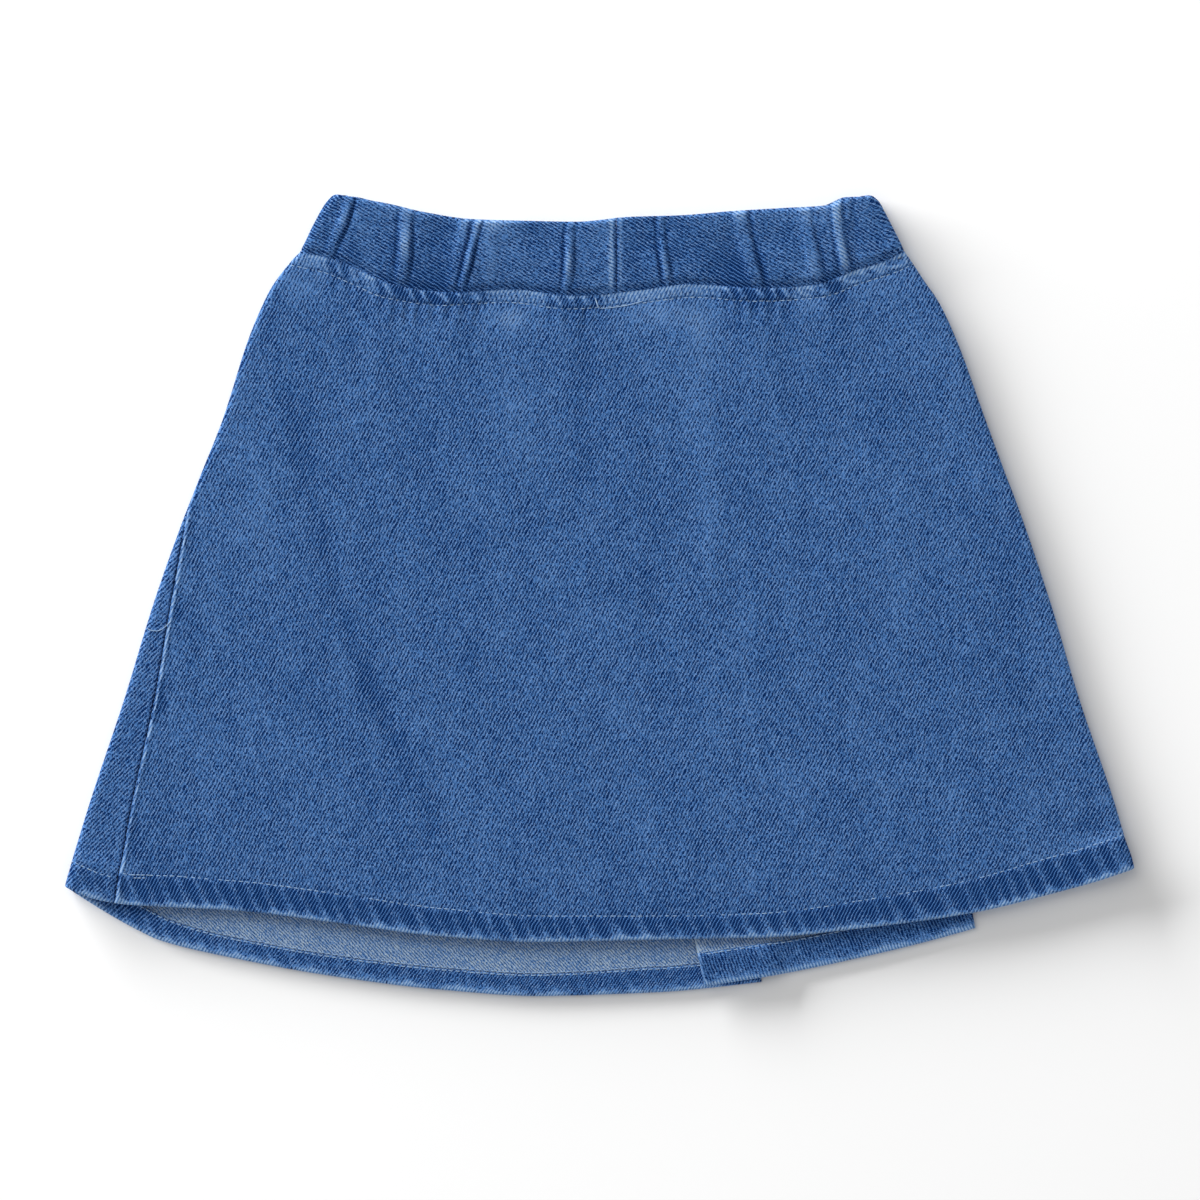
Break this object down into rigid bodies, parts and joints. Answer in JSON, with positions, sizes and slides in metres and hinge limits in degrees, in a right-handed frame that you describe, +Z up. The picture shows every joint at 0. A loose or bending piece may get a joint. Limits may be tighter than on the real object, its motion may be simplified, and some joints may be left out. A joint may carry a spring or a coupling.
{
  "type": "denim skirt",
  "caption": "Child's pull-on denim mini skirt with elasticated waist and mock wrap front, laid flat with its back uppermost.",
  "frame": {"origin": "centre of the bounding box, on the surface that the skirt lies on", "axes": "+X to the right along the hem, +Y towards the waist, +Z up out of the skirt's back, which is uppermost"},
  "size_m": [0.449, 0.3366, 0.0094],
  "materials": {
    "denim": "washed mid-blue right-hand twill denim, matt, with pale flecks and paler worn edges",
    "denim_inside": "wrong side of the same denim, paler and greyer, with the twill slanting the other way",
    "thread": "washed pale blue topstitching thread"
  },
  "bodies": {
    "root": {"waistband": "denim", "back_panel": "denim", "front_wrap_panel": "denim", "front_under_panel": "denim", "back_hem": "denim", "front_wrap_hem": "denim", "front_under_hem": "denim"}
  },
  "joints": []
}
